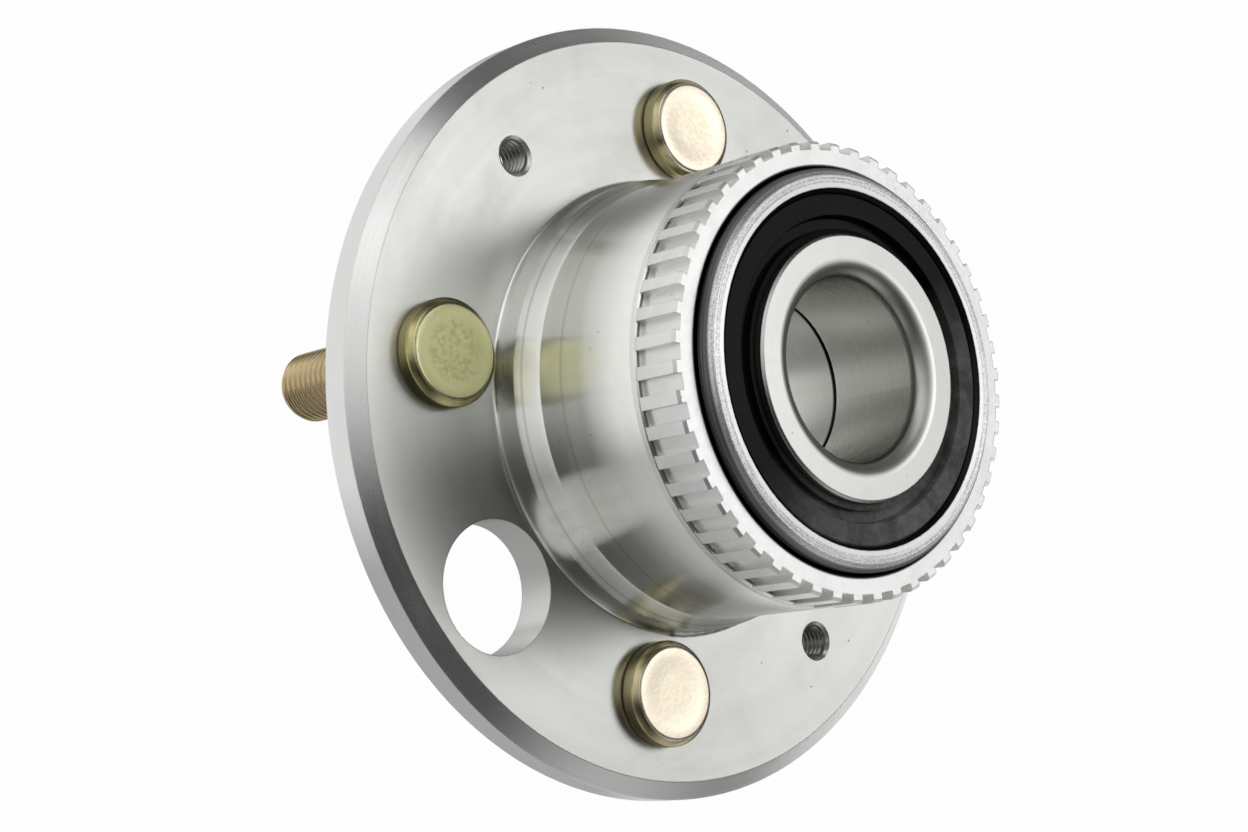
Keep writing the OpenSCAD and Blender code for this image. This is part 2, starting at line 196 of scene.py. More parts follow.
def tap_thread(name, centre):
    """M6 x 1 thread inside a tapped hole, as a thin liner.

    The outer wall lies just inside the 6 mm bore. The radius of the inner wall is TAP_LINER_R less what
    the thread leaves standing, which fades out towards the countersinks.
    """
    theta = np.linspace(0, 2 * math.pi, TAP_POINTS, endpoint=False)[None, :]
    z = np.linspace(FLANGE_T - TAP_FADE[0], TAP_FADE[0], TAP_ROWS)[:, None]
    fade = smoothstep(z, *TAP_FADE) * smoothstep(FLANGE_T - z, *TAP_FADE)
    standing = (TAP_PITCH / 2 - thread_depth(theta, z, TAP_PITCH, TAP_THREAD_DEPTH)) * fade
    inner_r = TAP_LINER_R - standing
    outer_r = np.full_like(inner_r, TAP_WALL_R)
    radius = np.vstack([inner_r, outer_r[::-1], inner_r[:1]])
    height = np.vstack([z, z[::-1], z[:1]])
    return sheet(name, rings(radius, height, theta, centre)[:, ::-1])


for number in range(1, STUDS + 1):
    stud = wheel_stud(f"threaded_stud_{number}", middle(f"wheel_stud_{number}"))
    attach(stud, "hub")
    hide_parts(f"wheel_stud_{number}")
for number, angle in enumerate(TAP_ANGLES, 1):
    turn = math.radians(angle)
    centre = (TAP_CIRCLE_R * math.cos(turn), TAP_CIRCLE_R * math.sin(turn))
    liner = tap_thread(f"tap_thread_{number}", centre)
    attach(liner, "hub")


# Node helpers

def put(tree, value, socket):
    """Joins an output to a socket, or writes a number or colour into it."""
    if isinstance(value, bpy.types.NodeSocket):
        tree.links.new(value, socket)
    else:
        socket.default_value = value


def calc(tree, operation, *terms, clamp=False):
    """One Math node."""
    node = tree.nodes.new("ShaderNodeMath")
    node.operation = operation
    node.use_clamp = clamp
    for socket, term in zip(node.inputs, terms):
        put(tree, term, socket)
    return node.outputs[0]


def tint(tree, factor, a, b):
    """One colour Mix node."""
    node = tree.nodes.new("ShaderNodeMix")
    node.data_type = "RGBA"
    for socket, value in ((node.inputs[0], factor), (node.inputs[6], a), (node.inputs[7], b)):
        put(tree, value, socket)
    return node.outputs[2]


def rescale(tree, value, low, high, to_low, to_high):
    """Maps a value from one span to another, held at both ends."""
    node = tree.nodes.new("ShaderNodeMapRange")
    for socket, term in zip(node.inputs, (value, low, high, to_low, to_high)):
        put(tree, term, socket)
    return node.outputs[0]


def noise(tree, vector, scale, detail=2.0, rough=0.5, distortion=0.0):
    """One Noise texture."""
    node = tree.nodes.new("ShaderNodeTexNoise")
    put(tree, vector, node.inputs["Vector"])
    settings = {"Scale": scale, "Detail": detail, "Roughness": rough, "Distortion": distortion}
    for label, value in settings.items():
        node.inputs[label].default_value = value
    return node.outputs["Fac"]


def enlarge(tree, vector, factor):
    """A vector times a number."""
    node = tree.nodes.new("ShaderNodeVectorMath")
    node.operation = "SCALE"
    put(tree, vector, node.inputs[0])
    put(tree, factor, node.inputs["Scale"])
    return node.outputs[0]


def split(tree, vector):
    """The three parts of a vector."""
    node = tree.nodes.new("ShaderNodeSeparateXYZ")
    put(tree, vector, node.inputs[0])
    return node.outputs


def join(tree, x, y, z):
    """A vector or a colour from three parts."""
    node = tree.nodes.new("ShaderNodeCombineXYZ")
    for socket, term in zip(node.inputs, (x, y, z)):
        put(tree, term, socket)
    return node.outputs[0]


def group(name, inputs, outputs):
    """Starts a shader node group with the given sockets and returns it with its input and output nodes."""
    tree = bpy.data.node_groups.new(name, "ShaderNodeTree")
    for label, kind, value in inputs:
        socket = tree.interface.new_socket(label, in_out="INPUT", socket_type=kind)
        if value is not None:
            socket.default_value = value
    for label, kind in outputs:
        tree.interface.new_socket(label, in_out="OUTPUT", socket_type=kind)
    return tree, tree.nodes.new("NodeGroupInput"), tree.nodes.new("NodeGroupOutput")


def use(tree, effect, **values):
    """Places a group in a material with its own values and returns its outputs."""
    node = tree.nodes.new("ShaderNodeGroup")
    node.node_tree = effect
    for label, value in values.items():
        put(tree, value, node.inputs[label.replace("_", " ")])
    return node.outputs


# Shared effects

def millimetres(tree):
    """The piece's own coordinates in millimetres."""
    return enlarge(tree, tree.nodes.new("ShaderNodeTexCoord").outputs["Object"], 1 / MM)


def from_axis(tree, x, y):
    """Distance from the hub axis."""
    return calc(tree, "SQRT", calc(tree, "ADD", calc(tree, "MULTIPLY", x, x), calc(tree, "MULTIPLY", y, y)))


def stretch(tree, vector, scale, turn=(0, 0, 0)):
    """A Mapping node that turns a pattern, in degrees, and stretches it."""
    node = tree.nodes.new("ShaderNodeMapping")
    put(tree, vector, node.inputs["Vector"])
    node.inputs["Rotation"].default_value = [math.radians(a) for a in turn]
    node.inputs["Scale"].default_value = scale
    return node.outputs[0]


def build_turned():
    """Tool lines round the hub axis: noise that changes fast along the outline and slowly round it."""
    tree, start, end = group("turned lines",
                             [("Place", "NodeSocketVector", None), ("Lines", "NodeSocketFloat", 4.0)],
                             [("Radius", "NodeSocketFloat"), ("Level", "NodeSocketFloat"),
                              ("Lines", "NodeSocketFloat"), ("Bands", "NodeSocketFloat")])
    x, y, z = split(tree, start.outputs["Place"])
    radius = from_axis(tree, x, y)
    safe = calc(tree, "MAXIMUM", radius, 0.01)
    cos, sin = calc(tree, "DIVIDE", x, safe), calc(tree, "DIVIDE", y, safe)
    along = calc(tree, "MULTIPLY", calc(tree, "SUBTRACT", radius, z), start.outputs["Lines"])
    around = join(tree, along, calc(tree, "MULTIPLY", cos, 0.9), calc(tree, "MULTIPLY", sin, 0.9))
    wide = join(tree, calc(tree, "MULTIPLY", along, 0.1), calc(tree, "MULTIPLY", cos, 1.4),
                calc(tree, "MULTIPLY", sin, 1.4))
    for label, value in (("Radius", radius), ("Level", z), ("Lines", noise(tree, around, 1.0, 3.0, 0.65)),
                         ("Bands", noise(tree, wide, 1.0, 3.0, 0.6))):
        put(tree, value, end.inputs[label])
    return tree


def build_band():
    """Soft mask that is 1 between Low and High, with edges of the given softness."""
    tree, start, end = group("band", [("Value", "NodeSocketFloat", 0.0), ("Low", "NodeSocketFloat", 0.0),
                                      ("High", "NodeSocketFloat", 1.0), ("Soft", "NodeSocketFloat", 0.1)],
                             [("Mask", "NodeSocketFloat")])
    value, low, high, soft = (start.outputs[k] for k in ("Value", "Low", "High", "Soft"))
    rise = calc(tree, "DIVIDE", calc(tree, "SUBTRACT", value, low), soft, clamp=True)
    fall = calc(tree, "DIVIDE", calc(tree, "SUBTRACT", high, value), soft, clamp=True)
    put(tree, calc(tree, "MULTIPLY", rise, fall), end.inputs["Mask"])
    return tree


def build_specks():
    """Small pits or grains: round spots at the points of a Voronoi pattern, of which a share is kept."""
    tree, start, end = group("specks",
                             [("Place", "NodeSocketVector", None), ("Spacing", "NodeSocketFloat", 2.0),
                              ("Size", "NodeSocketFloat", 0.12), ("Share", "NodeSocketFloat", 0.3)],
                             [("Mask", "NodeSocketFloat")])
    node = tree.nodes.new("ShaderNodeTexVoronoi")
    put(tree, start.outputs["Place"], node.inputs["Vector"])
    put(tree, calc(tree, "DIVIDE", 1.0, start.outputs["Spacing"]), node.inputs["Scale"])
    away = calc(tree, "MULTIPLY", node.outputs["Distance"], start.outputs["Spacing"])
    red, green, _ = split(tree, node.outputs["Color"])
    size = calc(tree, "MULTIPLY", start.outputs["Size"], calc(tree, "ADD", green, 0.4))
    spot = calc(tree, "SUBTRACT", 1.0, calc(tree, "DIVIDE", away, size), clamp=True)
    spot = calc(tree, "MULTIPLY", spot, 3.0, clamp=True)
    kept = calc(tree, "LESS_THAN", red, start.outputs["Share"])
    put(tree, calc(tree, "MULTIPLY", spot, kept), end.inputs["Mask"])
    return tree


def build_smudges():
    """Wiped stains and handling marks: two sizes of noise, cut to soft patches."""
    tree, start, end = group("smudges",
                             [("Place", "NodeSocketVector", None), ("Width", "NodeSocketFloat", 12.0),
                              ("Cover", "NodeSocketFloat", 0.5)],
                             [("Mask", "NodeSocketFloat"), ("Grain", "NodeSocketFloat")])
    spread = enlarge(tree, start.outputs["Place"], calc(tree, "DIVIDE", 1.0, start.outputs["Width"]))
    broad = noise(tree, spread, 1.0, 4.0, 0.6, 0.6)
    fine = noise(tree, spread, 9.0, 3.0, 0.7)
    cut = calc(tree, "SUBTRACT", 0.85, calc(tree, "MULTIPLY", start.outputs["Cover"], 0.6))
    both = calc(tree, "ADD", calc(tree, "MULTIPLY", broad, 0.8), calc(tree, "MULTIPLY", fine, 0.2))
    mask = rescale(tree, both, calc(tree, "SUBTRACT", cut, 0.12), calc(tree, "ADD", cut, 0.08), 0.0, 1.0)
    put(tree, mask, end.inputs["Mask"])
    put(tree, fine, end.inputs["Grain"])
    return tree


def build_scratches():
    """Thin straight marks in two directions: Voronoi cells drawn out to needles, a share of them kept."""
    tree, start, end = group("scratches",
                             [("Place", "NodeSocketVector", None), ("Share", "NodeSocketFloat", 0.2)],
                             [("Mask", "NodeSocketFloat")])
    masks = []
    for turn in ((20, 35, 25), (-40, 10, 110)):
        node = tree.nodes.new("ShaderNodeTexVoronoi")
        put(tree, stretch(tree, start.outputs["Place"], (0.08, 1.1, 1.1), turn), node.inputs["Vector"])
        node.inputs["Scale"].default_value = 1.0
        thin = rescale(tree, node.outputs["Distance"], 0.03, 0.07, 1.0, 0.0)
        red = split(tree, node.outputs["Color"])[0]
        masks.append(calc(tree, "MULTIPLY", thin, calc(tree, "LESS_THAN", red, start.outputs["Share"])))
    put(tree, calc(tree, "MAXIMUM", *masks), end.inputs["Mask"])
    return tree


TURNED = build_turned()
BAND = build_band()
SPECKS = build_specks()
SMUDGES = build_smudges()
SCRATCHES = build_scratches()


def surface(name, **constants):
    """A material with its own Principled shader, whose constant sockets are set here."""
    material = bpy.data.materials.new(name)
    material.use_nodes = True
    tree = material.node_tree
    shader = tree.nodes["Principled BSDF"]
    for label, value in constants.items():
        shader.inputs[label.replace("_", " ")].default_value = value
    return material, tree, shader


def relief(tree, shader, height, distance, edge=None, form=None):
    """Bump of the given depth over a broad form and over corners rounded by edge, all in millimetres."""
    normal = None
    if edge:
        corner = tree.nodes.new("ShaderNodeBevel")
        corner.samples = 6
        corner.inputs["Radius"].default_value = edge * MM
        normal = corner.outputs[0]
    for layer, depth in ((form, 1.0), (height, distance)):
        if layer is None:
            continue
        bump = tree.nodes.new("ShaderNodeBump")
        bump.inputs["Distance"].default_value = depth * MM
        put(tree, layer, bump.inputs["Height"])
        if normal is not None:
            put(tree, normal, bump.inputs["Normal"])
        normal = bump.outputs[0]
    put(tree, normal, shader.inputs["Normal"])


def brushed_round(tree, shader):
    """Lets the gloss stretch across tool lines that run round the hub axis."""
    tangent = tree.nodes.new("ShaderNodeTangent")
    tangent.direction_type = "RADIAL"
    tangent.axis = "Z"
    put(tree, tangent.outputs[0], shader.inputs["Tangent"])


def band(tree, value, low, high, soft):
    """Mask that is 1 between low and high."""
    return use(tree, BAND, Value=value, Low=low, High=high, Soft=soft)["Mask"]


def zone(tree, place, heights, radii, soft_height=0.1, soft_radius=0.1):
    """Mask of a turned surface between two heights and two radii."""
    return calc(tree, "MULTIPLY", band(tree, place["Level"], *heights, soft_height),
                band(tree, place["Radius"], *radii, soft_radius))


def either(tree, *masks):
    """The strongest of several masks."""
    total = masks[0]
    for mask in masks[1:]:
        total = calc(tree, "MAXIMUM", total, mask)
    return total


# Finishes

# Turned surfaces of the hub in millimetres: heights, radii and, where they aren't 0.1, the softness of both
HUB_ZONES = {
    "polished": ((7.55, 41.4), (30, 39.6)),
    "foot": ((41.2, 50.2), (32.5, 34)),
    "wall": ((50.1, 52.38), (32.2, 34), 0.02, 0.3),
    "nose_face": ((51.7, 60), (20, 32.5), 0.1, 0.3),
    "lip": ((52.36, 60), (29.3, 30.4), 0.02, 0.1),
    "mouth": ((48.0, 52.35), (28.0, 29.62), 0.03, 0.05),
    "shoulder": ((40.9, 41.1), (36.8, 37.5), 0.05, 0.15),
    "hole": ((0.05, 7.42), (30, 67), 0.03, 0.1),
    "bevel": ((5.3, 7.46), (64.5, 70), 0.03, 0.05),
}
RIM_R = (67.4, 70)

# Bands of the hub, its rings and studs in millimetres: low, high and softness,
# as heights or, where the name ends in _R, as radii
FILM_BAND = (17.2, 29.5, 3.0)
UPPER_MARK, LOWER_MARK = (22.4, 23.3, 0.35), (13.5, 14.2, 0.3)
NOSE_CORNER_SHADE_R = (30, 34.0, 0.3)
BORE_R, BORE_ENTRY_R = (10, 15.15, 0.1), (15.2, 17.3, 0.5)
RING_JOINT = ((32.1, 33.0), (10, 17), 0.2, 0.1)
HEAD_DISH = (11.0, 11.16, 0.04)
HEAD_SIDE_TOP, SHANK_TOP = 10.9, 7.0

# How far the tool lines stretch the hub's gloss, a little further on the barrel: two heights each, and the
# stretch at both
STRETCH_RISE, STRETCH_FALL = (14.0, 16.0, 0.8, 0.85), (40.0, 42.0, 0.85, 0.8)

# Colours of the hub: a pair is mixed by the tool lines
SATIN = (0.59, 0.60, 0.57, 1), (0.63, 0.64, 0.61, 1)
POLISHED = (0.9, 0.91, 0.87, 1), (0.95, 0.96, 0.93, 1)
BEVELLED = (0.84, 0.85, 0.83, 1), (0.96, 0.97, 0.95, 1)
GRAINY = (0.5, 0.505, 0.5, 1), (0.95, 0.96, 0.95, 1)
BLACK, WHITE = (0, 0, 0, 1), (1, 1, 1, 1)
FILM = (0.66, 0.67, 0.55, 1)
TOOL_MARK = (0.4, 0.41, 0.33, 1)
STAIN = (0.46, 0.46, 0.42, 1)
BARE_STREAK = (0.8, 0.8, 0.78, 1)
# Colour of the painted highlight at the lip of the nose face
PAINTED_LIP_HIGHLIGHT = (0.97, 0.97, 0.96, 1)
DEEP_SHADE = (0.02, 0.02, 0.02, 1)
RIM_GREY = (0.76, 0.77, 0.75, 1)
PIT = (0.2, 0.19, 0.17, 1)

# Long fillet from the collar to the barrel, and the part of the barrel that draws in towards the tone ring
FILLET_FOOT, FILLET_TOP = 12.6, 17.6
CONE_DROP, FOOT_HOLLOW = -1.6, -1.3
TAPER_FROM, TAPER_TO, TAPER = 27.0, 39.6, -0.004


def hub_form(tree, z):
    """Broad form of the barrel in millimetres.

    Up the fillet the height falls in a straight line, with a hollow that goes as the square of what is left
    of the fillet. From TAPER_FROM on it falls with the square of the height above there, up to TAPER_TO.
    """
    along = rescale(tree, z, FILLET_FOOT, FILLET_TOP, 0.0, 1.0)
    left = calc(tree, "SUBTRACT", 1.0, along)
    cone = calc(tree, "ADD", calc(tree, "MULTIPLY", along, CONE_DROP),
                calc(tree, "MULTIPLY", calc(tree, "MULTIPLY", left, left), FOOT_HOLLOW))
    above = calc(tree, "SUBTRACT", calc(tree, "MINIMUM", z, TAPER_TO), TAPER_FROM)
    above = calc(tree, "MAXIMUM", above, 0.0)
    taper = calc(tree, "MULTIPLY", calc(tree, "MULTIPLY", above, above), TAPER)
    return calc(tree, "ADD", cone, taper)


def hub_steel():
    """Turned and polished steel: satin flange, polished barrel, scratched nose and a grainy nose face, with
    painted shade on the nose wall and a painted highlight at the lip.
    """
    material, tree, shader = surface("turned hub steel", Anisotropic_Rotation=0.25)
    brushed_round(tree, shader)
    mm = millimetres(tree)
    turned = use(tree, TURNED, Place=mm, Lines=3.0)
    r, z, lines, bands = (turned[k] for k in ("Radius", "Level", "Lines", "Bands"))
    smudge = use(tree, SMUDGES, Place=mm, Width=16.0, Cover=0.42)
    pits = use(tree, SPECKS, Place=mm, Spacing=3.2, Size=0.16, Share=0.35)["Mask"]
    scratch = use(tree, SCRATCHES, Place=mm, Share=0.3)["Mask"]
    on = {name: zone(tree, turned, *place) for name, place in HUB_ZONES.items()}
    polished, wall, bevel = on["polished"], on["wall"], on["bevel"]
    rim = band(tree, r, *RIM_R, 0.1)
    nose = either(tree, wall, on["nose_face"])

    colour = tint(tree, bands, *SATIN)
    colour = tint(tree, polished, colour, tint(tree, bands, *POLISHED))
    film = calc(tree, "MULTIPLY", band(tree, z, *FILM_BAND), polished)
    colour = tint(tree, calc(tree, "MULTIPLY", film, 0.3), colour, FILM)
    mark = either(tree, band(tree, z, *UPPER_MARK), calc(tree, "MULTIPLY", band(tree, z, *LOWER_MARK), 1.2))
    mark = calc(tree, "MULTIPLY", calc(tree, "MULTIPLY", mark, polished),
                rescale(tree, lines, 0.3, 0.7, 0.25, 0.5))
    colour = tint(tree, mark, colour, TOOL_MARK)
    colour = tint(tree, calc(tree, "MULTIPLY", smudge["Mask"], 0.07), colour, STAIN)
    grain = noise(tree, mm, 4.0, 3.0, 0.6)
    mottle = rescale(tree, calc(tree, "ADD", lines, grain), 0.84, 1.12, 0.0, 1.0)
    streak = calc(tree, "ADD", lines, calc(tree, "MULTIPLY", scratch, 0.25))
    streak = rescale(tree, streak, 0.4, 0.66, 0.0, 1.0)
    # Painted shade on the nose wall, darkest next to the tone ring and paler towards the nose face, with
    # bare scratch streaks over it
    nose_wall_painted_shade = rescale(tree, calc(tree, "SUBTRACT", r, calc(tree, "MULTIPLY", z, 0.5)), 6.1, 7.8, 0.18, 0.01)
    scored_and_painted_shade = tint(tree, calc(tree, "MULTIPLY", streak, 0.28), tint(tree, nose_wall_painted_shade, BLACK, WHITE), BARE_STREAK)
    colour = tint(tree, wall, colour, scored_and_painted_shade)
    colour = tint(tree, on["nose_face"], colour, tint(tree, mottle, *GRAINY))
    # Painted highlight: a near-white band round the inner edge of the nose face
    colour = tint(tree, on["lip"], colour, PAINTED_LIP_HIGHLIGHT)
    shaded = either(tree, calc(tree, "MULTIPLY", on["shoulder"], 0.7), on["foot"], on["mouth"])
    colour = tint(tree, shaded, colour, DEEP_SHADE)
    colour = tint(tree, either(tree, rim, on["hole"]), colour, RIM_GREY)
    colour = tint(tree, bevel, colour, tint(tree, lines, *BEVELLED))
    colour = tint(tree, calc(tree, "MULTIPLY", pits, 0.7), colour, PIT)
    put(tree, colour, shader.inputs["Base Color"])

    put(tree, calc(tree, "SUBTRACT", 1.0, calc(tree, "MULTIPLY", wall, 0.5)), shader.inputs["Metallic"])
    height = split(tree, mm)[2]
    gloss_stretch = calc(tree, "MINIMUM", rescale(tree, height, *STRETCH_RISE),
                         rescale(tree, height, *STRETCH_FALL))
    put(tree, gloss_stretch, shader.inputs["Anisotropic"])
    rough = calc(tree, "ADD", 0.3, calc(tree, "MULTIPLY", calc(tree, "SUBTRACT", bands, 0.5), 0.1))
    for mask, change in ((polished, -0.055), (smudge["Mask"], 0.03), (nose, 0.1), (bevel, -0.04)):
        rough = calc(tree, "MULTIPLY_ADD", mask, change, rough)
    put(tree, rough, shader.inputs["Roughness"])

    deep = calc(tree, "MULTIPLY", calc(tree, "ADD", lines, calc(tree, "MULTIPLY", bands, 0.6)),
                calc(tree, "SUBTRACT", 1.0, calc(tree, "MULTIPLY", polished, 0.7)))
    deep = calc(tree, "ADD", deep, calc(tree, "MULTIPLY", grain, calc(tree, "MULTIPLY", nose, 2.5)))
    deep = calc(tree, "SUBTRACT", deep, calc(tree, "MULTIPLY", scratch, nose))
    deep = calc(tree, "SUBTRACT", deep, calc(tree, "MULTIPLY", pits, 4.0))
    relief(tree, shader, deep, 0.008, edge=0.25, form=hub_form(tree, z))
    return material


def ring_steel():
    """Pale satin plating over pressed steel, a little grainy and pitted, with painted shade in the corner
    at the nose.
    """
    material, tree, shader = surface("satin plated ring", Metallic=0.9)
    mm = millimetres(tree)
    grain = noise(tree, mm, 3.5, 4.0, 0.65)
    cloud = use(tree, SMUDGES, Place=mm, Width=7.0, Cover=0.5)
    pits = use(tree, SPECKS, Place=mm, Spacing=1.5, Size=0.12, Share=0.3)["Mask"]
    colour = tint(tree, cloud["Mask"], (0.95, 0.96, 0.94, 1), (0.88, 0.89, 0.87, 1))
    colour = tint(tree, calc(tree, "MULTIPLY", pits, 0.5), colour, (0.35, 0.34, 0.31, 1))
    # Painted shade: near black round the inner edge of the ring, where it meets the nose
    corner = band(tree, use(tree, TURNED, Place=mm)["Radius"], *NOSE_CORNER_SHADE_R)
    colour = tint(tree, corner, colour, (0.01, 0.01, 0.01, 1))
    put(tree, colour, shader.inputs["Base Color"])
    put(tree, rescale(tree, grain, 0.3, 0.7, 0.32, 0.46), shader.inputs["Roughness"])
    relief(tree, shader, calc(tree, "SUBTRACT", grain, calc(tree, "MULTIPLY", pits, 1.5)), 0.02, edge=0.2)
    return material


def bearing_steel():
    """Ground and hardened ring steel with a finely ground face and bore, and a few handling pits."""
    material, tree, shader = surface("ground bearing steel", Metallic=1.0)
    mm = millimetres(tree)
    turned = use(tree, TURNED, Place=mm, Lines=5.0)
    pits = use(tree, SPECKS, Place=mm, Spacing=2.2, Size=0.14, Share=0.3)["Mask"]
    smudge = use(tree, SMUDGES, Place=mm, Width=6.0, Cover=0.4)
    bore = band(tree, turned["Radius"], *BORE_R)
    colour = tint(tree, turned["Bands"], (0.53, 0.53, 0.51, 1), (0.57, 0.57, 0.55, 1))
    colour = tint(tree, calc(tree, "MULTIPLY", smudge["Mask"], 0.3), colour, (0.46, 0.45, 0.42, 1))
    colour = tint(tree, calc(tree, "MULTIPLY", pits, 0.6), colour, (0.25, 0.24, 0.22, 1))
    joint = zone(tree, turned, *RING_JOINT)
    colour = tint(tree, calc(tree, "MULTIPLY", bore, 0.5), colour, (0.78, 0.77, 0.73, 1))
    colour = tint(tree, joint, colour, (0.01, 0.01, 0.01, 1))
    put(tree, colour, shader.inputs["Base Color"])
    entry = band(tree, turned["Radius"], *BORE_ENTRY_R)
    gloss = rescale(tree, turned["Lines"], 0.3, 0.7, 0.26, 0.28)
    put(tree, calc(tree, "MULTIPLY_ADD", entry, 0.12, gloss), shader.inputs["Roughness"])
    depth = calc(tree, "MULTIPLY", turned["Lines"], rescale(tree, bore, 0.0, 1.0, 0.12, 0.004))
    relief(tree, shader, calc(tree, "SUBTRACT", depth, calc(tree, "MULTIPLY", pits, 2.0)), 0.004, edge=0.25)
    return material


def seal_rubber():
    """Black moulded rubber with a slight gloss, dust specks, and pale wiped dust that also serves as a
    painted sheen towards one side.
    """
    material, tree, shader = surface("black seal rubber", Metallic=0.0, Specular_IOR_Level=0.06)
    mm = millimetres(tree)
    dust = use(tree, SPECKS, Place=mm, Spacing=1.6, Size=0.09, Share=0.3)["Mask"]
    wiped = use(tree, SMUDGES, Place=mm, Width=8.0, Cover=0.5)
    x, y, _ = split(tree, mm)
    # Painted sheen: the pale wiped dust is almost gone on one side of the seal and full on the other
    side = rescale(tree, calc(tree, "SUBTRACT", x, y), 0.0, 30.0, 0.02, 1.0)
    film = calc(tree, "MULTIPLY", side, rescale(tree, wiped["Mask"], 0.0, 1.0, 0.4, 1.0))
    colour = tint(tree, film, (0.003, 0.0035, 0.0035, 1), (0.21, 0.21, 0.205, 1))
    colour = tint(tree, calc(tree, "MULTIPLY", dust, 0.6), colour, (0.3, 0.3, 0.28, 1))
    put(tree, colour, shader.inputs["Base Color"])
    put(tree, rescale(tree, wiped["Grain"], 0.3, 0.7, 0.16, 0.3), shader.inputs["Roughness"])
    relief(tree, shader, noise(tree, mm, 1.2, 2.0, 0.5), 0.006, edge=0.2)
    return material


def stud_zinc():
    """Yellow passivated zinc: olive on two studs, rosy on the others, mottled where the head is dished, and
    darker olive on the head sides, partly as painted shade.
    """
    material, tree, shader = surface("yellow passivated zinc", Metallic=1.0)
    mm = millimetres(tree)
    _, y, z = split(tree, mm)
    drift = noise(tree, mm, 0.16, 3.0, 0.55, 0.5)
    fine = noise(tree, mm, 1.3, 4.0, 0.65)
    sway = calc(tree, "MULTIPLY", calc(tree, "SUBTRACT", drift, 0.5), 50)
    across = calc(tree, "ADD", calc(tree, "ABSOLUTE", y), sway)
    rosy = rescale(tree, across, 12.0, 38.0, 0.0, 1.0)
    colour = tint(tree, rosy, (0.64, 0.63, 0.35, 1), (0.72, 0.65, 0.53, 1))
    colour = tint(tree, calc(tree, "MULTIPLY", rescale(tree, fine, 0.5, 0.75, 0.0, 1.0), 0.25), colour,
                  (0.76, 0.62, 0.44, 1))
    # Head sides and below: the zinc's darker olive, deepened further as painted shade
    side = calc(tree, "MULTIPLY", calc(tree, "LESS_THAN", z, HEAD_SIDE_TOP), 0.75)
    colour = tint(tree, side, colour, (0.44, 0.38, 0.17, 1))
    shank = calc(tree, "MULTIPLY", calc(tree, "LESS_THAN", z, SHANK_TOP), 0.8)
    colour = tint(tree, shank, colour, (0.6, 0.46, 0.27, 1))
    mottle = rescale(tree, noise(tree, mm, 1.1, 4.0, 0.7), 0.46, 0.6, 0.0, 1.0)
    dish = band(tree, z, *HEAD_DISH)
    tarnish = rescale(tree, rosy, 0.0, 1.0, 0.4, 0.07)
    tarnish = calc(tree, "MULTIPLY", dish, calc(tree, "MULTIPLY_ADD", mottle, tarnish, 0.06))
    colour = tint(tree, tarnish, colour, (0.3, 0.28, 0.12, 1))
    put(tree, colour, shader.inputs["Base Color"])
    put(tree, rescale(tree, fine, 0.3, 0.7, 0.2, 0.27), shader.inputs["Roughness"])
    relief(tree, shader, calc(tree, "SUBTRACT", fine, mottle), 0.004)
    return material


def tapped_steel():
    """Unplated cut thread, dark with cutting oil between bright crests."""
    material, tree, shader = surface("tapped steel", Metallic=1.0)
    mm = millimetres(tree)
    oil = noise(tree, mm, 1.2, 3.0, 0.6)
    colour = tint(tree, oil, (0.3, 0.295, 0.28, 1), (0.55, 0.545, 0.52, 1))
    put(tree, colour, shader.inputs["Base Color"])
    put(tree, rescale(tree, oil, 0.3, 0.7, 0.25, 0.4), shader.inputs["Roughness"])
    relief(tree, shader, noise(tree, mm, 6.0, 2.0, 0.5), 0.01)
    return material


def case_steel():
    """Bright pressed sheet steel."""
    material, tree, shader = surface("pressed case steel", Metallic=1.0)
    mm = millimetres(tree)
    turned = use(tree, TURNED, Place=mm, Lines=6.0)
    colour = tint(tree, turned["Bands"], (0.62, 0.62, 0.6, 1), (0.75, 0.75, 0.73, 1))
    put(tree, colour, shader.inputs["Base Color"])
    put(tree, rescale(tree, turned["Lines"], 0.3, 0.7, 0.25, 0.4), shader.inputs["Roughness"])
    relief(tree, shader, turned["Lines"], 0.004)
    return material


def cage_plastic():
    """Glass-filled nylon, cream, with short pale fibres at the surface."""
    material, tree, shader = surface("glass filled nylon", Metallic=0.0)
    mm = millimetres(tree)
    fibres = use(tree, SCRATCHES, Place=stretch(tree, mm, (4, 4, 4)), Share=0.5)["Mask"]
    cloud = noise(tree, mm, 0.5, 3.0, 0.6)
    colour = tint(tree, cloud, (0.52, 0.46, 0.33, 1), (0.62, 0.56, 0.42, 1))
    colour = tint(tree, calc(tree, "MULTIPLY", fibres, 0.35), colour, (0.8, 0.77, 0.68, 1))
    put(tree, colour, shader.inputs["Base Color"])
    put(tree, rescale(tree, cloud, 0.3, 0.7, 0.42, 0.56), shader.inputs["Roughness"])
    relief(tree, shader, noise(tree, mm, 4.0, 3.0, 0.6), 0.01)
    return material


def ball_steel():
    """Lapped ball steel under a thin film of grease."""
    material, tree, shader = surface("lapped ball steel", Metallic=1.0, Coat_Weight=0.3,
                                     Coat_Roughness=0.25)
    mm = millimetres(tree)
    film = use(tree, SMUDGES, Place=mm, Width=4.0, Cover=0.5)
    colour = tint(tree, film["Mask"], (0.8, 0.8, 0.79, 1), (0.66, 0.62, 0.5, 1))
    put(tree, colour, shader.inputs["Base Color"])
    put(tree, rescale(tree, film["Mask"], 0.0, 1.0, 0.08, 0.2), shader.inputs["Roughness"])
    relief(tree, shader, film["Grain"], 0.002)
    return material


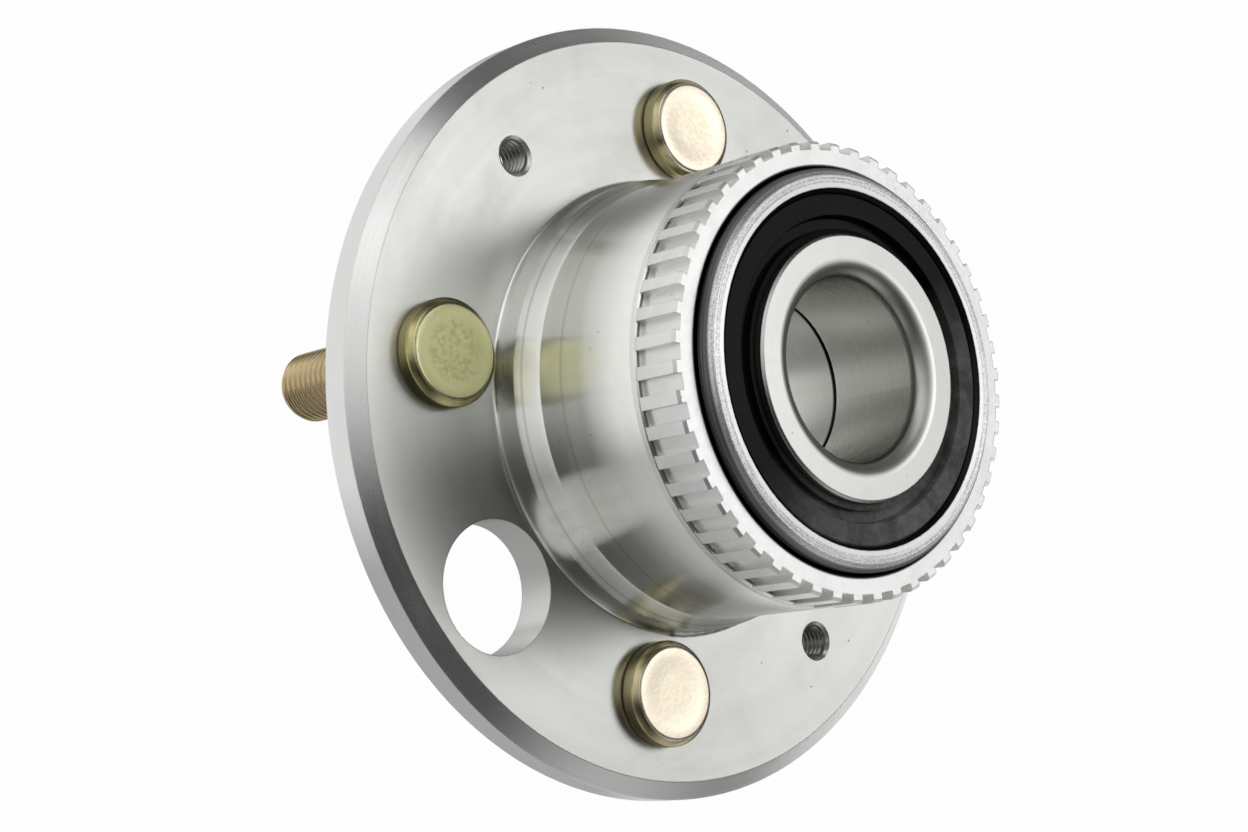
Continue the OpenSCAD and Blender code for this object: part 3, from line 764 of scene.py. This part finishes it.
# Each finish with the first letters of the names of its pieces
FINISHES = {
    hub_steel: ("hub_flange",),
    tapped_steel: ("tap_thread",),
    ring_steel: ("tone_ring",),
    bearing_steel: ("inner_ring",),
    seal_rubber: ("seal_inboard_lip", "seal_outboard_lip"),
    stud_zinc: ("wheel_stud", "threaded_stud"),
    case_steel: ("seal_inboard_case", "seal_outboard_case"),
    cage_plastic: ("cage",),
    ball_steel: ("ball",),
}
for make, names in FINISHES.items():
    finish = make()
    for piece in list(bpy.data.objects):
        if piece.type == "MESH" and piece.name.startswith(names):
            piece.data.materials.clear()
            piece.data.materials.append(finish)


# Floor, light and camera

FLOOR_HALF = 3000.0
FLOOR_WHITE = 0.98
# Azimuth in degrees of the line along which metal mirrors a white floor on both sides of the hub, the
# spread of that white as cosines from the line, and the share of white across it
CARD_AZIMUTH = 160
CARD_EDGE = (0.55, 0.78)
CARD_AWAY = 0.24


def floor():
    """Pale floor under the stud ends, which keeps a soft shadow.

    It looks white to the camera and through holes. Metal mirrors it white on two opposite sides of the hub
    and greyer between them, as with two white cards on a table.
    """
    mesh = bpy.data.meshes.new("floor")
    corners = np.array([(-1, -1), (1, -1), (1, 1), (-1, 1)]) * FLOOR_HALF
    points = np.column_stack([corners, np.full(4, STUD_END)]) * MM
    mesh.from_pydata(points.tolist(), [], [(0, 1, 2, 3)])
    piece = bpy.data.objects.new("floor", mesh)
    bpy.context.scene.collection.objects.link(piece)
    material = bpy.data.materials.new("pale floor")
    material.use_nodes = True
    tree = material.node_tree
    tree.nodes.clear()
    mm = millimetres(tree)
    paint = tree.nodes.new("ShaderNodeBsdfDiffuse")
    cloud = noise(tree, mm, 0.01, 3.0, 0.5)
    put(tree, tint(tree, cloud, (0.86, 0.86, 0.86, 1), (0.9, 0.9, 0.9, 1)), paint.inputs["Color"])
    white = tree.nodes.new("ShaderNodeEmission")
    clear = tree.nodes.new("ShaderNodeBsdfTransparent")
    path = tree.nodes.new("ShaderNodeLightPath").outputs
    x, y, _ = split(tree, mm)
    card = math.radians(CARD_AZIMUTH)
    along = calc(tree, "ADD", calc(tree, "MULTIPLY", x, math.cos(card)),
                 calc(tree, "MULTIPLY", y, math.sin(card)))
    facing = calc(tree, "DIVIDE", along, calc(tree, "MAXIMUM", from_axis(tree, x, y), 1.0))
    share = rescale(tree, calc(tree, "ABSOLUTE", facing), *CARD_EDGE, CARD_AWAY, FLOOR_WHITE)
    mirrored = calc(tree, "MULTIPLY", path["Is Glossy Ray"], share)
    seen = either(tree, path["Is Camera Ray"], path["Is Transmission Ray"])
    seen = calc(tree, "MULTIPLY", seen, FLOOR_WHITE)
    blend = tree.nodes.new("ShaderNodeMixShader")
    put(tree, either(tree, seen, mirrored), blend.inputs[0])
    put(tree, paint.outputs[0], blend.inputs[1])
    put(tree, white.outputs[0], blend.inputs[2])
    under = tree.nodes.new("ShaderNodeMixShader")
    put(tree, tree.nodes.new("ShaderNodeNewGeometry").outputs["Backfacing"], under.inputs[0])
    put(tree, blend.outputs[0], under.inputs[1])
    put(tree, clear.outputs[0], under.inputs[2])
    put(tree, under.outputs[0], tree.nodes.new("ShaderNodeOutputMaterial").inputs["Surface"])
    mesh.materials.append(material)


# Soft light in rings: elevation of the ring, spread of each light and azimuth of the first one, in degrees,
# then the strengths of its lights, evenly spaced
LIGHT = [
    (8, 22, 0, (0.05, 0.05, 0.15, 0.55, 0.45, 0.7)),
    (24, 14, 0, (0, 0, 0.15, 0.2, 1.3, 0.6, 0, 0, 0.15, 0)),
    (40, 9, 0, (0.65, 1.05, 0.5, 0, 0, 0, 1.3, 0.75, 0.5, 0.75, 0.4, 0, 0, 0, 0, 0, 0, 0, 0, 0)),
    (54, 9, 0, (0.75, 2.7, 0.2, 0, 0.1, 0.85, 0.5, 0.5, 0.4, 0, 0, 0, 0, 0, 0)),
    (70, 12, 10, (1, 0.9, 0.35, 0.2, 0, 0, 0, 0)),
    (88, 14, 0, (0.4,)),
]


def studio():
    """World of soft lights.

    Each adds its strength times e to the power of (cosine of the angle away less 1) over (1 less the cosine
    of its spread).
    """
    world = bpy.data.worlds.new("soft studio")
    bpy.context.scene.world = world
    world.use_nodes = True
    tree = world.node_tree
    tree.nodes.clear()
    direction = tree.nodes.new("ShaderNodeTexCoord").outputs["Generated"]
    total = 0.0
    for elevation, spread, first, strengths in LIGHT:
        e, sharp = math.radians(elevation), 1 / (1 - math.cos(math.radians(spread)))
        for place_in_ring, strength in enumerate(strengths):
            if not strength:
                continue
            a = math.radians(first + 360 * place_in_ring / len(strengths))
            dot = tree.nodes.new("ShaderNodeVectorMath")
            dot.operation = "DOT_PRODUCT"
            put(tree, direction, dot.inputs[0])
            flat = math.cos(e)
            dot.inputs[1].default_value = (math.cos(a) * flat, math.sin(a) * flat, math.sin(e))
            fall = calc(tree, "MULTIPLY_ADD", dot.outputs["Value"], sharp, -sharp)
            total = calc(tree, "MULTIPLY_ADD", calc(tree, "EXPONENT", fall), strength, total)
    light = tree.nodes.new("ShaderNodeBackground")
    put(tree, join(tree, total, total, total), light.inputs["Color"])
    white = tree.nodes.new("ShaderNodeBackground")
    white.inputs["Color"].default_value = (1, 1, 1, 1)
    blend = tree.nodes.new("ShaderNodeMixShader")
    put(tree, tree.nodes.new("ShaderNodeLightPath").outputs["Is Camera Ray"], blend.inputs[0])
    put(tree, light.outputs[0], blend.inputs[1])
    put(tree, white.outputs[0], blend.inputs[2])
    put(tree, blend.outputs[0], tree.nodes.new("ShaderNodeOutputWorld").inputs["Surface"])


floor()
studio()

# Place in metres, turn in degrees and lens in millimetres, solved from the ellipses in the photograph
CAMERA_PLACE = (-0.297516, -0.098907, 0.341290)
CAMERA_TURN = (10.42804, -41.09801, 2.76166)
CAMERA_LENS, CAMERA_SENSOR = 76.069, 36

camera = bpy.data.objects.new("camera", bpy.data.cameras.new("camera"))
bpy.context.scene.collection.objects.link(camera)
camera.location = CAMERA_PLACE
camera.rotation_euler = Euler([math.radians(a) for a in CAMERA_TURN])
camera.data.sensor_width = CAMERA_SENSOR
camera.data.lens = CAMERA_LENS
camera.data.clip_start = 0.01
bpy.context.scene.camera = camera
bpy.context.scene.view_settings.view_transform = "Standard"
